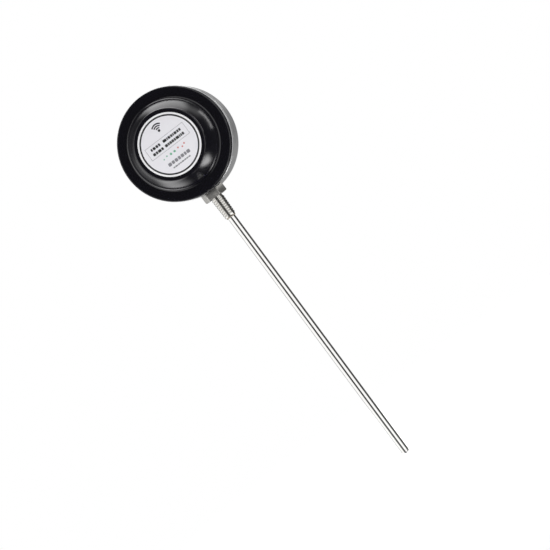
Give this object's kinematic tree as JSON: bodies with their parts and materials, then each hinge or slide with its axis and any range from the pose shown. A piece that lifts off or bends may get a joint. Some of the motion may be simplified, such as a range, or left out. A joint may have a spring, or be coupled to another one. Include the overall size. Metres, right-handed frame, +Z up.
{
  "type": "wireless temperature probe",
  "caption": "Round sealed head with a screw-on domed cap and a label disc, on a hexagon with a tapered pipe thread and a long thin metal probe; battery radio board inside.",
  "frame": {"origin": "centre of the hexagon's lower face, on the stem's axis, where the thread meets its shoulder", "axes": "+Z up from the stem to the head, the cap and label face -Y, +X to the right as the label is read"},
  "size_m": [0.083, 0.0551, 0.3177],
  "materials": {
    "black_moulding": "glossy black moulding",
    "label_paper": "printed satin film",
    "case_steel": "fine turned stainless steel",
    "fitting_steel": "machined stainless steel",
    "polished_steel": "polished stainless steel tube",
    "weld": "weld bead",
    "seal_rubber": "black nitrile",
    "ceramic": "fired ceramic",
    "resin": "cast epoxy",
    "board_green": "solder mask on glass laminate",
    "brass": "turned brass",
    "nickel": "nickel plate",
    "copper": "bare copper wire",
    "holder_plastic": "matt black moulding",
    "cell_sleeve": "shrink sleeve",
    "terminal_green": "moulded nylon",
    "chip_black": "moulded chip body",
    "part_tan": "chip capacitor body",
    "lamp": "clear tinted lens",
    "switch_grey": "moulded switch body",
    "button_orange": "moulded plunger",
    "lead_red": "silicone insulation",
    "lead_white": "silicone insulation",
    "lead_grey": "silicone insulation"
  },
  "bodies": {
    "housing": {"case": "case_steel", "spigot_ring": "brass", "hex_fitting": "fitting_steel", "neck_weld": "weld", "stem_tube": "polished_steel", "tip_plug": "polished_steel", "stem_weld": "weld", "rtd_element": "ceramic", "stem_insulator": "ceramic", "element_wire_1": "copper", "element_wire_2": "copper", "element_wire_3": "copper", "stem_potting": "resin", "lead_red": "lead_red", "lead_white": "lead_white", "lead_grey": "lead_grey", "circuit_board": "board_green", "battery_holder": "holder_plastic", "battery": "cell_sleeve", "battery_spring": "nickel", "battery_tab": "nickel", "radio_module": "board_green", "radio_shield": "nickel", "antenna": "copper", "processor": "chip_black", "regulator": "chip_black", "crystal": "nickel", "capacitor": "part_tan", "status_led": "lamp", "terminal_block": "terminal_green", "pair_switch": "switch_grey", "power_switch": "nickel", "board_post_1": "nickel", "board_screw_1": "nickel", "board_post_2": "nickel", "board_screw_2": "nickel", "board_post_3": "nickel", "board_screw_3": "nickel", "board_post_4": "nickel", "board_screw_4": "nickel", "terminal_screw_1": "nickel", "terminal_screw_2": "nickel", "terminal_screw_3": "nickel"},
    "seal_carrier": {"cap_seal": "seal_rubber"},
    "screw_cap": {"cap": "black_moulding", "label": "label_paper"},
    "pair_plunger": {"pair_button": "button_orange"},
    "power_knob": {"power_slider": "chip_black"}
  },
  "joints": [
    {"name": "cap_travel", "type": "slide", "parent": "housing", "child": "seal_carrier", "axis": [0, -1, 0], "range_m": [0, 0.0301]},
    {"name": "cap_turn", "type": "hinge", "parent": "seal_carrier", "child": "screw_cap", "pos_m": [0, 0, 0.0472], "axis": [0, -1, 0], "range_deg": [0, 5400]},
    {"name": "pair_press", "type": "slide", "parent": "housing", "child": "pair_plunger", "axis": [0, 1, 0], "range_m": [0, 0.0005], "stiffness_N_per_m": 3000},
    {"name": "power_slide", "type": "slide", "parent": "housing", "child": "power_knob", "axis": [1, 0, 0], "range_m": [0, 0.002]}
  ],
  "couplings": [
    {"joint": "cap_travel", "follows": "cap_turn", "m_per_rad": 0.0003183}
  ]
}
